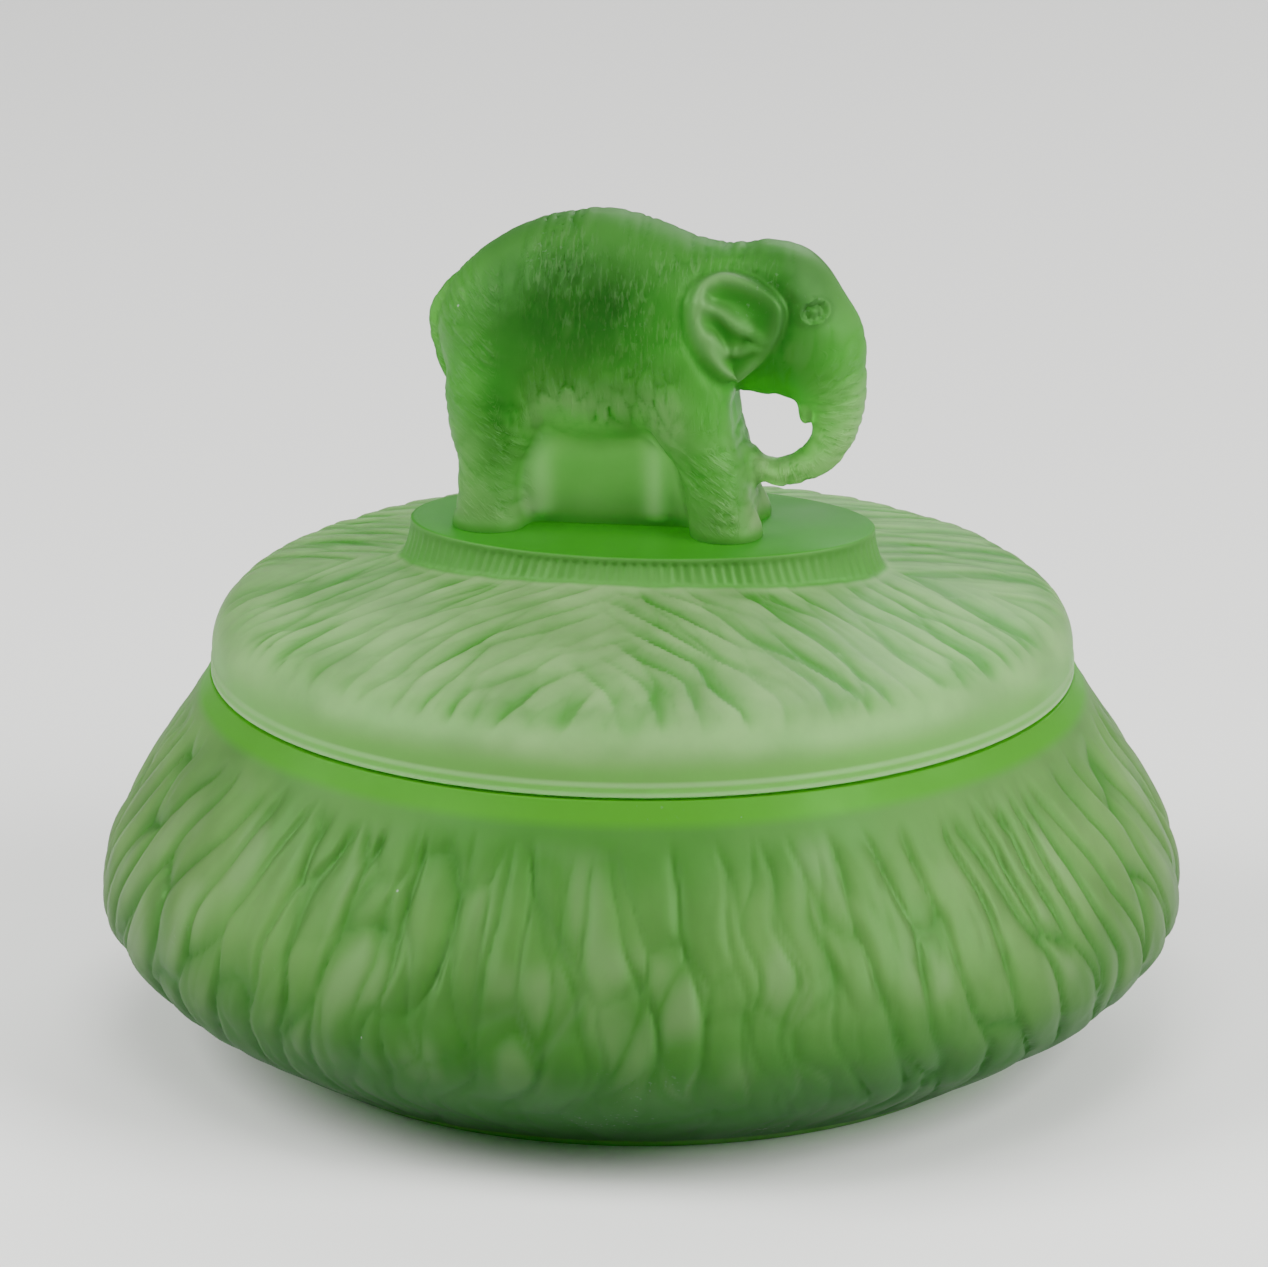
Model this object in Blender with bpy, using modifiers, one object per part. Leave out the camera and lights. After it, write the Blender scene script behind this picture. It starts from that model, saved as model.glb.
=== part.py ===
"""Pressed-glass powder jar: a low round bowl and a loose domed lid with an elephant on top.

The frame has its origin at the centre of the foot, +Z up, and the elephant faces +X.
Lengths are in metres. The elephant is drawn in its own frame, which sits on the plinth's top.
"""
import math

import bmesh
import bpy
from mathutils import Matrix, Vector

MM = 0.001

# Driving dimensions of the bowl
BOWL_RADIUS = 70.0 * MM
FOOT_RADIUS = 46.0 * MM
FOOT_RECESS_RADIUS = 38.5 * MM
FOOT_RECESS_DEPTH = 1.2 * MM
FLOOR_HEIGHT = 6.0 * MM
LEDGE_RADIUS = 55.8 * MM
LEDGE_HEIGHT = 48.9 * MM
COLLAR_RADIUS = 50.3 * MM
MOUTH_RADIUS = 47.0 * MM
COLLAR_TOP = 53.2 * MM

# Driving dimensions of the lid
SEAT_GAP = 0.3 * MM
RIM_RADIUS = 55.6 * MM
RIM_INNER_RADIUS = 51.2 * MM
RIM_BOTTOM = LEDGE_HEIGHT + SEAT_GAP
DOME_TOP = 66.2 * MM
DOME_CURVE_RADIUS = 184.0 * MM
DOME_THICKNESS = 4.0 * MM
SHOULDER_START = 50.0 * MM
INNER_SHOULDER_START = 48.6 * MM

# Driving dimensions of the plinth and the elephant
PLINTH_TOP = 68.6 * MM
PLINTH_HALF_LENGTH = 30.0 * MM
PLINTH_HALF_WIDTH = 16.6 * MM
PLINTH_FLARE = 1.05
PLINTH_ROOT = 61.9 * MM
ELEPHANT_VOXEL = 0.8 * MM
ELEPHANT_KEEP = 0.17

TURN_STEPS = 64
DOME_RINGS = 5
EDGE_ROUND = 0.6 * MM
MERGE = 0.00001

GLASS_GREEN = (0.22, 0.52, 0.13, 1.0)
LID_GREEN = (0.36, 0.60, 0.25, 1.0)


def clear_scene():
    for old in list(bpy.data.objects):
        bpy.data.objects.remove(old, do_unlink=True)


def new_collection(name):
    collection = bpy.data.collections.new(name)
    bpy.context.scene.collection.children.link(collection)
    return collection


def add_object(name, data, collection):
    piece = bpy.data.objects.new(name, data)
    collection.objects.link(piece)
    return piece


def glass(name, colour):
    material = bpy.data.materials.new(name)
    material.use_nodes = True
    shader = material.node_tree.nodes["Principled BSDF"]
    shader.inputs["Base Color"].default_value = colour
    shader.inputs["Roughness"].default_value = 0.45
    shader.inputs["Metallic"].default_value = 0.0
    shader.inputs["Transmission Weight"].default_value = 0.6
    shader.inputs["IOR"].default_value = 1.5
    material.diffuse_color = colour
    return material


def smooth_curve(points, pieces):
    """Points along a Catmull-Rom curve through the given points, without its last point."""
    ends = [points[0]] + list(points) + [points[-1]]
    curve = []
    for before, start, end, after in zip(ends, ends[1:], ends[2:], ends[3:]):
        for step in range(pieces):
            t = step / pieces
            curve.append(tuple(
                0.5 * (2 * b + (c - a) * t + (2 * a - 5 * b + 4 * c - d) * t ** 2
                       + (3 * b - a - 3 * c + d) * t ** 3)
                for a, b, c, d in zip(before, start, end, after)))
    return curve


def arc(centre, radius, start_deg, end_deg, count):
    """Points on a circular arc, from start_deg to end_deg, both ends included."""
    points = []
    for step in range(count + 1):
        angle = math.radians(start_deg + (end_deg - start_deg) * step / count)
        points.append((centre[0] + radius * math.cos(angle), centre[1] + radius * math.sin(angle)))
    return points


def turned(name, profile, collection):
    """A solid of revolution about Z, from a profile of (radius, height) that runs down its outside."""
    mesh = bpy.data.meshes.new(name)
    edges = [(index, index + 1) for index in range(len(profile) - 1)]
    mesh.from_pydata([(radius, 0.0, height) for radius, height in profile], edges, [])
    piece = add_object(name, mesh, collection)
    screw = piece.modifiers.new("turn", "SCREW")
    screw.axis = "Z"
    screw.angle = 2 * math.pi
    screw.steps = TURN_STEPS
    screw.render_steps = TURN_STEPS
    screw.use_merge_vertices = True
    screw.merge_threshold = MERGE
    screw.use_smooth_shade = True
    return piece


# ---------------------------------------------------------------- bowl

def bowl_profile():
    """The section of the bowl: inside from the floor up, over the collar and ledge, and down outside."""
    floor_and_wall = [
        (0.0, FLOOR_HEIGHT),
        (30.0 * MM, FLOOR_HEIGHT),
        (44.0 * MM, 7.2 * MM),
        (54.0 * MM, 10.8 * MM),
        (61.0 * MM, 15.5 * MM),
        (BOWL_RADIUS - 4.7 * MM, 21.5 * MM),
        (64.0 * MM, 28.0 * MM),
        (60.2 * MM, 35.0 * MM),
        (55.6 * MM, 41.5 * MM),
        (50.4 * MM, 46.4 * MM),
        (47.6 * MM, 48.6 * MM),
        (MOUTH_RADIUS, 50.2 * MM),
    ]
    lip = 0.8 * MM
    collar = arc((MOUTH_RADIUS + lip, COLLAR_TOP - lip), lip, 180, 90, 3)
    collar += arc((COLLAR_RADIUS - lip, COLLAR_TOP - lip), lip, 90, 0, 3)
    ledge = [(COLLAR_RADIUS, LEDGE_HEIGHT)]
    ledge += arc((LEDGE_RADIUS - EDGE_ROUND, LEDGE_HEIGHT - EDGE_ROUND), EDGE_ROUND, 90, 20, 2)
    outside = smooth_curve([
        (57.0 * MM, 46.3 * MM),
        (61.2 * MM, 40.1 * MM),
        (65.6 * MM, 33.0 * MM),
        (69.0 * MM, 26.2 * MM),
        (BOWL_RADIUS, 20.0 * MM),
        (68.6 * MM, 15.4 * MM),
        (63.6 * MM, 9.9 * MM),
        (55.2 * MM, 4.7 * MM),
        (FOOT_RADIUS + 1.4 * MM, EDGE_ROUND),
    ], 2)
    foot = [
        (FOOT_RADIUS + 0.6 * MM, 0.12 * MM),
        (FOOT_RADIUS, 0.0),
        (FOOT_RECESS_RADIUS, 0.0),
        (FOOT_RECESS_RADIUS - FOOT_RECESS_DEPTH, FOOT_RECESS_DEPTH),
        (0.0, FOOT_RECESS_DEPTH),
    ]
    return floor_and_wall + collar + ledge + outside + foot


# ---------------------------------------------------------------- lid

def dome_height(radius, top):
    return top - radius ** 2 / (2 * DOME_CURVE_RADIUS)


def shoulder(start_radius, top, wall_radius, count):
    """An arc that leaves the dome at start_radius and meets the upright wall tangentially."""
    slope = math.atan(start_radius / DOME_CURVE_RADIUS)
    bend = (wall_radius - start_radius) / (1 - math.sin(slope))
    centre = (wall_radius - bend, dome_height(start_radius, top) - bend * math.cos(slope))
    return arc(centre, bend, 90 - math.degrees(slope), 0, count)


def dome_section(start_radius, top, wall_radius, bend_points):
    """Half of a dome's section, from the axis out to the top of its upright wall."""
    section = []
    for ring in range(DOME_RINGS):
        radius = start_radius * ring / DOME_RINGS
        section.append((radius, dome_height(radius, top)))
    return section + shoulder(start_radius, top, wall_radius, bend_points)


def lid_profile():
    """The section of the lid's shell: down its outside, across the rim, and back up inside."""
    outside = dome_section(SHOULDER_START, DOME_TOP, RIM_RADIUS, 6)
    rim = arc((RIM_RADIUS - EDGE_ROUND, RIM_BOTTOM + EDGE_ROUND), EDGE_ROUND, 0, -90, 2)
    rim += arc((RIM_INNER_RADIUS + EDGE_ROUND, RIM_BOTTOM + EDGE_ROUND), EDGE_ROUND, -90, -180, 2)
    inside = dome_section(INNER_SHOULDER_START, DOME_TOP - DOME_THICKNESS, RIM_INNER_RADIUS, 3)
    return outside + rim + list(reversed(inside))


def oval_plinth(collection):
    """An oval block with a flat top, a little wider towards its root in the dome."""
    model = bmesh.new()
    depth = PLINTH_TOP - PLINTH_ROOT
    bmesh.ops.create_cone(
        model, cap_ends=True, segments=TURN_STEPS, radius1=PLINTH_FLARE, radius2=1.0, depth=depth,
        matrix=Matrix.Translation((0, 0, PLINTH_TOP - depth / 2)))
    bmesh.ops.scale(model, vec=(PLINTH_HALF_LENGTH, PLINTH_HALF_WIDTH, 1.0), verts=model.verts)
    mesh = bpy.data.meshes.new("oval_plinth")
    model.to_mesh(mesh)
    model.free()
    return add_object("oval_plinth", mesh, collection)


# ---------------------------------------------------------------- elephant

# Round masses: centre (forward, sideways, up), half-sizes in the same order, tilt about the side axis.
# A mass that stands off the middle is repeated on the other side.
MASSES = {
    "barrel": ((-5.6, 0, 26.3), (18.0, 10.3, 15.0), 0),
    "rump": ((-15.4, 0, 25.0), (11.2, 9.6, 11.2), 0),
    "shoulders": ((4.6, 0, 26.2), (9.6, 9.8, 11.6), 0),
    "neck": ((10.0, 0, 28.2), (8.0, 7.6, 9.2), 0),
    "skull": ((16.4, 0, 28.0), (9.8, 7.8, 10.1), 0),
    "face": ((22.3, 0, 23.8), (6.4, 5.6, 7.8), 0),
    "jaw": ((16.2, 0, 21.9), (5.6, 4.6, 3.9), 0),
    "lip": ((20.9, 0, 16.0), (1.2, 1.6, 2.3), 0),
    "trunk_tip": ((14.4, 0, 9.5), (0.9, 1.4, 1.5), 0),
    "haunch": ((-18.8, 4.2, 17.5), (6.1, 5.0, 10.5), 0),
    "thigh": ((5.6, 4.8, 18.5), (5.4, 4.9, 9.5), -12),
    "ear": ((12.6, 7.3, 29.0), (6.2, 1.8, 5.9), 15),
    "ear_tip": ((12.4, 7.3, 24.6), (3.0, 1.5, 4.6), -12),
    "fore_foot": ((11.9, 4.9, 0.9), (4.5, 4.3, 2.4), 0),
    "foot_web": ((11.4, 0, 1.6), (3.8, 4.8, 4.4), 0),
    "hind_foot": ((-19.3, 3.8, 0.7), (4.6, 4.1, 2.0), 0),
}

# Round limbs: points with (forward, sideways, up, radius).
LIMBS = {
    "trunk": [(23.6, 0, 25.0, 4.6), (25.0, 0, 20.4, 4.0), (25.3, 0, 16.2, 3.35), (24.8, 0, 12.9, 2.95),
              (22.9, 0, 9.8, 2.5), (20.0, 0, 7.75, 2.15), (17.0, 0, 7.3, 1.9), (13.2, 0, 8.4, 1.85)],
    "foreleg": [(5.8, 5.2, 24.0, 5.2), (7.6, 5.0, 15.0, 4.6), (9.5, 4.9, 8.5, 4.3), (11.4, 4.9, 1.0, 4.4)],
    "hind_leg": [(-18.6, 4.3, 18.0, 5.7), (-19.2, 4.1, 12.0, 4.5), (-19.5, 3.9, 7.0, 4.0),
                 (-19.4, 3.8, 1.0, 4.2)],
    "tail": [(-24.4, 0, 31.0, 1.2), (-26.2, 0, 28.4, 1.2), (-26.7, 0, 25.0, 1.0), (-26.0, 0, 20.6, 0.9)],
}

# The glass between the legs is left solid, as a pressed figure has no gaps across the mould.
WEB_CENTRE = (-4.2, 0.0, 8.0)
WEB_SIZE = (32.0, 4.6, 17.0)


def both_sides(points):
    """The points as given, and mirrored when they stand off the middle plane."""
    if all(point[1] == 0 for point in points):
        return [points]
    mirrored = [(point[0], -point[1]) + tuple(point[2:]) for point in points]
    return [points, mirrored]


def add_mass(model, centre, half_sizes, tilt_deg):
    place = Matrix.Translation(Vector(centre) * MM)
    tilt = Matrix.Rotation(math.radians(tilt_deg), 4, "Y")
    size = Matrix.Diagonal((*(half * MM for half in half_sizes), 1.0))
    bmesh.ops.create_uvsphere(model, u_segments=24, v_segments=16, radius=1.0, matrix=place @ tilt @ size)


def add_limb(model, name, points):
    """A round limb that tapers from point to point."""
    curve = bpy.data.curves.new(name, "CURVE")
    curve.dimensions = "3D"
    curve.bevel_depth = 1.0
    curve.bevel_resolution = 4
    curve.resolution_u = 4
    curve.use_fill_caps = True
    spline = curve.splines.new("BEZIER")
    spline.bezier_points.add(len(points) - 1)
    for knot, (forward, side, up, radius) in zip(spline.bezier_points, points):
        knot.co = Vector((forward, side, up)) * MM
        knot.radius = radius * MM
        knot.handle_left_type = "AUTO"
        knot.handle_right_type = "AUTO"
    guide = add_object(name, curve, bpy.context.scene.collection)
    evaluated = guide.evaluated_get(bpy.context.evaluated_depsgraph_get())
    mesh = bpy.data.meshes.new_from_object(evaluated)
    model.from_mesh(mesh)
    bmesh.ops.remove_doubles(model, verts=model.verts, dist=MERGE / 10)
    bpy.data.meshes.remove(mesh)
    bpy.data.objects.remove(guide, do_unlink=True)
    bpy.data.curves.remove(curve)


def elephant(collection):
    """The figure as one skin over its masses and limbs, softened where they meet."""
    model = bmesh.new()
    for centre, half_sizes, tilt in MASSES.values():
        for (place,) in both_sides([centre]):
            add_mass(model, place, half_sizes, tilt)
    for name, points in LIMBS.items():
        for route in both_sides(points):
            add_limb(model, name, route)
    web_matrix = Matrix.Translation(Vector(WEB_CENTRE) * MM)
    web_matrix @= Matrix.Diagonal((*(length * MM for length in WEB_SIZE), 1.0))
    bmesh.ops.create_cube(model, size=1.0, matrix=web_matrix)
    mesh = bpy.data.meshes.new("elephant")
    model.to_mesh(mesh)
    model.free()
    figure = add_object("elephant", mesh, collection)
    figure.location = (0, 0, PLINTH_TOP)
    skin = figure.modifiers.new("skin", "REMESH")
    skin.mode = "VOXEL"
    skin.voxel_size = ELEPHANT_VOXEL
    soften = figure.modifiers.new("soften", "SMOOTH")
    soften.factor = 0.5
    soften.iterations = 4
    lighten = figure.modifiers.new("lighten", "DECIMATE")
    lighten.ratio = ELEPHANT_KEEP
    return figure


# ---------------------------------------------------------------- assembly

def union(piece, other):
    other.hide_render = True
    other.display_type = "WIRE"
    join = piece.modifiers.new("join_" + other.name, "BOOLEAN")
    join.operation = "UNION"
    join.solver = "EXACT"
    join.object = other


def build():
    clear_scene()
    jar = new_collection("powder_jar")
    blanks = new_collection("shapes_joined_into_the_lid")

    bowl = turned("jar_bowl", bowl_profile(), jar)
    bowl.data.materials.append(glass("bowl_glass", GLASS_GREEN))

    lid = turned("lid", lid_profile(), jar)
    lid.data.materials.append(glass("lid_glass", LID_GREEN))
    union(lid, oval_plinth(blanks))
    union(lid, elephant(blanks))


build()
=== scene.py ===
"""Looks of the powder jar: satin green pressed glass. Its ridges, grooves, ribs and the elephant's
folds are real geometry, and only the finest wrinkles and the etched grain are bump.

Lengths are in metres. The elephant is drawn in millimetres in its own frame on the plinth's top.
"""
import math

import bmesh
import bpy
import numpy as np
from mathutils import Matrix, Vector


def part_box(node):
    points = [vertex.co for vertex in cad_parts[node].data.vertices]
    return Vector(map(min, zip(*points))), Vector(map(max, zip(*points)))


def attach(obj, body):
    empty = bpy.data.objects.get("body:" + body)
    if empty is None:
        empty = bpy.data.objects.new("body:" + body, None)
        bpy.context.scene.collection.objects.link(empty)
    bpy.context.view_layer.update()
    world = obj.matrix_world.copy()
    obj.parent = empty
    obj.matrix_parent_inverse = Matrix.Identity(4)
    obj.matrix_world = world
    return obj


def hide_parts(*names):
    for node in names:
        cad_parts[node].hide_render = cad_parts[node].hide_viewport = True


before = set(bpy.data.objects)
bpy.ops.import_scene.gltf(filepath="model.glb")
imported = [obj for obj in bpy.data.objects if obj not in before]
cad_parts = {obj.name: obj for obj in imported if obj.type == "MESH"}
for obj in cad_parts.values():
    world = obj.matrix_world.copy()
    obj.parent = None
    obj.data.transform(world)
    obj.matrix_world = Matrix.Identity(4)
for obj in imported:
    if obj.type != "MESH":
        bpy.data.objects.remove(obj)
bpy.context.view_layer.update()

MM = 0.001

# Sizes that the frame gives
_, BOWL_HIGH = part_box("jar_bowl")
LID_LOW, LID_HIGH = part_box("lid")
BOWL_RADIUS = BOWL_HIGH[0]
COLLAR_TOP = BOWL_HIGH[2]
RIM_RADIUS = LID_HIGH[0]
RIM_BOTTOM = LID_LOW[2]
FIGURE_TOP = LID_HIGH[2]

# Bowl
FOOT_RADIUS = 46.0 * MM
FOOT_RECESS_RADIUS = 38.5 * MM
FOOT_RECESS_DEPTH = 1.2 * MM
FLOOR_HEIGHT = 6.0 * MM
LEDGE_RADIUS = 55.8 * MM
LEDGE_HEIGHT = RIM_BOTTOM - 0.3 * MM
COLLAR_RADIUS = 50.3 * MM
MOUTH_RADIUS = 47.0 * MM
BOWL_COLUMNS = 960
BOWL_ROW = 0.85 * MM

# Bark-like ridges on the bowl. Their length, and the drop at which leaning ridges keep their place,
# are in millimetres, as the patterns are.
RIDGE_PITCH = 6.1 * MM
RIDGE_RADIUS = 66.0 * MM
RIDGE_DEPTH = 1.9 * MM
RIDGE_LENGTH = 33.0
RIDGE_LEAN = 0.42
RIDGE_LEAN_DROP = 26
RIDGE_WIDTH = 0.8
RIDGE_FRONT_ANGLE = 0.62

# Lid
RIM_INNER_RADIUS = 51.2 * MM
DOME_TOP = 66.2 * MM
DOME_CURVE_RADIUS = 184.0 * MM
DOME_THICKNESS = 4.0 * MM
SHOULDER_START = 50.0 * MM
INNER_SHOULDER_START = 48.6 * MM
LID_COLUMNS = 720
DOME_ROWS = 40
RIM_STEP_HEIGHT = RIM_BOTTOM + 1.7 * MM
RIM_STEP_DEPTH = 0.15 * MM
RIM_STEP_PALE = 0.6

# Swept grooves on the dome. Their pitch and length, and where they turn outward, are in
# millimetres, as the patterns are.
GROOVE_DEPTH = 0.8 * MM
GROOVE_PITCH = 3.6
GROOVE_LENGTH = 16.0
GROOVE_SWEEP = math.radians(48)
GROOVE_TURN_START = 38
GROOVE_TURN_REACH = 9

# Plinth
PLINTH_TOP = 68.6 * MM
PLINTH_HALF_LENGTH = 30.0 * MM
PLINTH_HALF_WIDTH = 16.6 * MM
PLINTH_FLARE = 0.9 * MM
PLINTH_WALL_ROWS = 10
RIB_COUNT = 118
RIB_DEPTH = 0.2 * MM
PLINTH_TOP_CLEAR = 0.95
# The ribbed side is painted paler than the top, painted light over the shade between the ribs
PLINTH_SIDE_PAINTED_LIGHT = 0.7

# Rounded edges, and the direction that the elephant's right side looks
EDGE_ROUND = 0.6 * MM
SEAT_EDGE_ROUND = 0.3 * MM
FRONT = -math.pi / 2

# Insides, undersides and the plinth's flat top have this many times fewer columns than the relief
COARSE = 4

# The repeat of the seeded patterns, in cells
PATTERN_ROWS = 64


# ---------------------------------------------------------------- curves and noise

def smooth_curve(points, pieces):
    """Points along a Catmull-Rom curve through the given points, both ends included."""
    points = np.asarray(points, float)
    ends = np.vstack([points[:1], points, points[-1:]])
    before, start, end, after = ends[:-3], ends[1:-2], ends[2:-1], ends[3:]
    curve = []
    for a, b, c, d in zip(before, start, end, after):
        for t in np.arange(pieces) / pieces:
            curve.append(0.5 * (2 * b + (c - a) * t + (2 * a - 5 * b + 4 * c - d) * t ** 2
                                + (3 * b - a - 3 * c + d) * t ** 3))
    curve.append(points[-1])
    return np.array(curve)


def even_steps(points, step):
    """The same line with points about one step apart."""
    lengths = np.linalg.norm(np.diff(points, axis=0), axis=1)
    along = np.concatenate([[0], np.cumsum(lengths)])
    count = max(2, int(round(along[-1] / step)) + 1)
    wanted = np.linspace(0, along[-1], count)
    return np.stack([np.interp(wanted, along, column) for column in points.T], axis=1)


def arc(centre, radius, start_deg, end_deg, count):
    angles = np.radians(np.linspace(start_deg, end_deg, count + 1))
    return np.stack([centre[0] + radius * np.cos(angles), centre[1] + radius * np.sin(angles)], axis=1)


def smooth_step(low, high, value):
    t = np.clip((value - low) / (high - low), 0, 1)
    return t * t * (3 - 2 * t)


def bump(distance, width):
    return np.exp(-(distance / width) ** 2)


def lattice_noise(u, v, around, seed):
    """Smooth noise from -1 to 1 on a unit lattice that repeats along u after a whole number of cells."""
    rng = np.random.default_rng(seed)
    values = rng.uniform(-1, 1, (around, PATTERN_ROWS))
    column, row = np.floor(u).astype(int), np.floor(v).astype(int)
    fu, fv = u - column, v - row
    fu, fv = fu * fu * (3 - 2 * fu), fv * fv * (3 - 2 * fv)
    total = 0
    for du, wu in ((0, 1 - fu), (1, fu)):
        for dv, wv in ((0, 1 - fv), (1, fv)):
            total = total + wu * wv * values[(column + du) % around, (row + dv) % PATTERN_ROWS]
    return total


def cells(u, v, around, seed, jitter=0.8):
    """Cellular pattern on unit cells: distance to the borders, and the signed place across the cell."""
    rng = np.random.default_rng(seed)
    offsets = rng.uniform(-0.5, 0.5, (around, PATTERN_ROWS, 2)) * jitter
    column = np.floor(u).astype(int)
    nearest = np.full(u.shape, 1e9)
    second = np.full(u.shape, 1e9)
    across = np.zeros(u.shape)
    for du in (-2, -1, 0, 1, 2):
        here = column + du
        stagger = 0.5 * (here % 2)
        row = np.floor(v - stagger).astype(int)
        for dv in (-1, 0, 1):
            offset = offsets[here % around, (row + dv) % PATTERN_ROWS]
            side = u - (here + 0.5 + offset[..., 0])
            along = v - stagger - (row + dv + 0.5 + offset[..., 1])
            distance = np.hypot(side, along)
            closer = distance < nearest
            second = np.where(closer, nearest, np.minimum(second, distance))
            across = np.where(closer, side, across)
            nearest = np.where(closer, distance, nearest)
    return second - nearest, across


# ---------------------------------------------------------------- ring meshes

def ring_mesh(name, rings):
    """A closed mesh from rings of points. A single point is a pole, and the number of points in a
    ring is a whole multiple or fraction of the number in the one before."""
    starts = np.cumsum([0] + [len(ring) for ring in rings])
    faces = []
    for index, (upper, lower) in enumerate(zip(rings, rings[1:])):
        a, b = int(starts[index]), int(starts[index + 1])
        many, few = len(upper), len(lower)
        if many == 1:
            faces += [(a, b + i, b + (i + 1) % few) for i in range(few)]
        elif few == 1:
            faces += [(a + (i + 1) % many, a + i, b) for i in range(many)]
        elif many >= few:
            k = many // few
            for i in range(few):
                edge = [a + (k * i + step) % many for step in range(k, -1, -1)]
                faces.append((*edge, b + i, b + (i + 1) % few))
        else:
            k = few // many
            for i in range(many):
                edge = [b + (k * i + step) % few for step in range(k + 1)]
                faces.append((a + (i + 1) % many, a + i, *edge))
    mesh = bpy.data.meshes.new(name)
    mesh.from_pydata(np.vstack(rings).tolist(), [], faces)
    mesh.shade_smooth()
    return mesh


def paint(mesh, name, values):
    """Keep one number for each of the mesh's points, for its material to read."""
    layer = mesh.attributes.new(name, "FLOAT", "POINT")
    layer.data.foreach_set("value", np.broadcast_to(values, len(mesh.vertices)).astype(np.float32))


def turn(points, columns):
    """Rings of a turned stretch, from its section."""
    angles = np.arange(columns) * 2 * np.pi / columns
    around = np.stack([np.cos(angles), np.sin(angles)], axis=1)
    rings = []
    for radius, height in points:
        if radius < 1e-9:
            rings.append(np.array([[0, 0, height]]))
        else:
            rings.append(np.column_stack([around * radius, np.full(columns, height)]))
    return rings


def section_normals(points):
    """Outward normals of a section that runs down its outside."""
    along = np.gradient(points, axis=0)
    normals = np.stack([-along[:, 1], along[:, 0]], axis=1)
    return normals / np.linalg.norm(normals, axis=1, keepdims=True)


# ---------------------------------------------------------------- bowl

def bowl_inside():
    floor = [(0.0, FLOOR_HEIGHT), (15.0 * MM, FLOOR_HEIGHT)]
    wall = smooth_curve([
        (30.0 * MM, FLOOR_HEIGHT),
        (44.0 * MM, 7.2 * MM),
        (54.0 * MM, 10.8 * MM),
        (61.0 * MM, 15.5 * MM),
        (BOWL_RADIUS - 4.7 * MM, 21.5 * MM),
        (64.0 * MM, 28.0 * MM),
        (60.2 * MM, 35.0 * MM),
        (55.6 * MM, 41.5 * MM),
        (50.4 * MM, 46.4 * MM),
        (47.6 * MM, 48.6 * MM),
        (MOUTH_RADIUS, 50.2 * MM),
    ], 3)
    lip = 0.8 * MM
    collar = np.vstack([
        arc((MOUTH_RADIUS + lip, COLLAR_TOP - lip), lip, 180, 90, 5),
        arc((COLLAR_RADIUS - lip, COLLAR_TOP - lip), lip, 90, 0, 5),
        [(COLLAR_RADIUS, 50.0 * MM)],
        arc((COLLAR_RADIUS + 0.4 * MM, LEDGE_HEIGHT + 0.4 * MM), 0.4 * MM, 180, 270, 3),
    ])
    return np.vstack([floor, wall, collar])


def bowl_outside():
    edge = SEAT_EDGE_ROUND
    ledge = arc((LEDGE_RADIUS - edge, LEDGE_HEIGHT - edge), edge, 90, 20, 4)
    wall = smooth_curve([
        (57.0 * MM, 46.3 * MM),
        (61.2 * MM, 40.1 * MM),
        (65.6 * MM, 33.0 * MM),
        (69.0 * MM, 26.2 * MM),
        (BOWL_RADIUS, 20.0 * MM),
        (68.6 * MM, 15.4 * MM),
        (63.6 * MM, 9.9 * MM),
        (55.2 * MM, 4.7 * MM),
        (FOOT_RADIUS + 1.4 * MM, EDGE_ROUND),
    ], 12)
    return ledge, even_steps(wall, BOWL_ROW)


def rounded(border, width):
    """Height across a ridge, from 0 in the sharp valley to 1 on the broad crest."""
    t = np.clip(border / width, 0, 1)
    return np.sqrt(t * (2 - t))


def bowl_relief(angle, drop, height):
    """Depth of the bark-like ridges, from 0 on the crests down, for each angle and place down the
    wall, and how pale the frosting is there, along fine veins and on some crests, where the paleness
    is partly a painted highlight."""
    around = 8 * int(round(2 * math.pi * RIDGE_RADIUS / RIDGE_PITCH / 8))
    turned = angle - FRONT
    front = np.exp(-(np.arctan2(np.sin(turned), np.cos(turned)) / RIDGE_FRONT_ANGLE) ** 2)
    lean = -RIDGE_LEAN * np.sin(turned) * np.tanh(6 * np.cos(turned / 2) ** 2)
    u = angle / (2 * math.pi) * around
    v = drop / MM
    sway = 0.5 * lattice_noise(u / 4, v / 15, around // 4, 11)
    sway = sway + (0.18 + 0.08 * front) * lattice_noise(u / 2, v / 7, around // 2, 12)

    # Leaning ridges with finer ones on them, crossed by a second set at the front
    below = v - RIDGE_LEAN_DROP
    shifted = u + lean * below * MM / RIDGE_PITCH + sway
    row = v / RIDGE_LENGTH + 0.3 * lattice_noise(u, v / 30, around, 13)
    border, _ = cells(shifted, row, around, 14)
    fine, _ = cells(shifted * 2, v / 15, around * 2, 15)
    crest = 0.88 * rounded(border, RIDGE_WIDTH) + 0.12 * rounded(fine, RIDGE_WIDTH)
    crossed = u + (0.3 * np.sin(2.5 * turned) - lean) * below * MM / RIDGE_PITCH + 0.7 * sway
    other, _ = cells(crossed, v / 19, around, 17)
    crest = crest * (1 - 0.5 * front) + 0.5 * front * rounded(other, RIDGE_WIDTH)
    strength = 0.85 + 0.3 * lattice_noise(u / 4, v / 17, around // 4, 16)

    # They die out under the plain band, and towards the foot
    z = height / MM
    reach = smooth_step(45.2, 41.0, z) * (0.35 + 0.65 * smooth_step(5, 14, z))
    reach = reach * smooth_step(1.2, 4.5, z)
    depth = -RIDGE_DEPTH * np.clip(strength * (1.02 - crest), 0, 1.1) * reach * (1 - 0.3 * front)

    patches = smooth_step(0.0, 0.6, lattice_noise(u / 3, v / 9, around // 3, 18))
    vein = bump(other, 0.09) * front * patches * smooth_step(10, 18, z)
    # Paler frosting on some crests, partly a painted highlight along the ridges
    frost_and_crest_highlight = smooth_step(0.0, 0.7, lattice_noise(u, v / 11, around, 19))
    frost_and_crest_highlight = frost_and_crest_highlight * smooth_step(0.4, 0.1, -depth / RIDGE_DEPTH) * smooth_step(12, 20, z)
    return depth, (0.15 * vein + 0.26 * frost_and_crest_highlight) * reach


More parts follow.
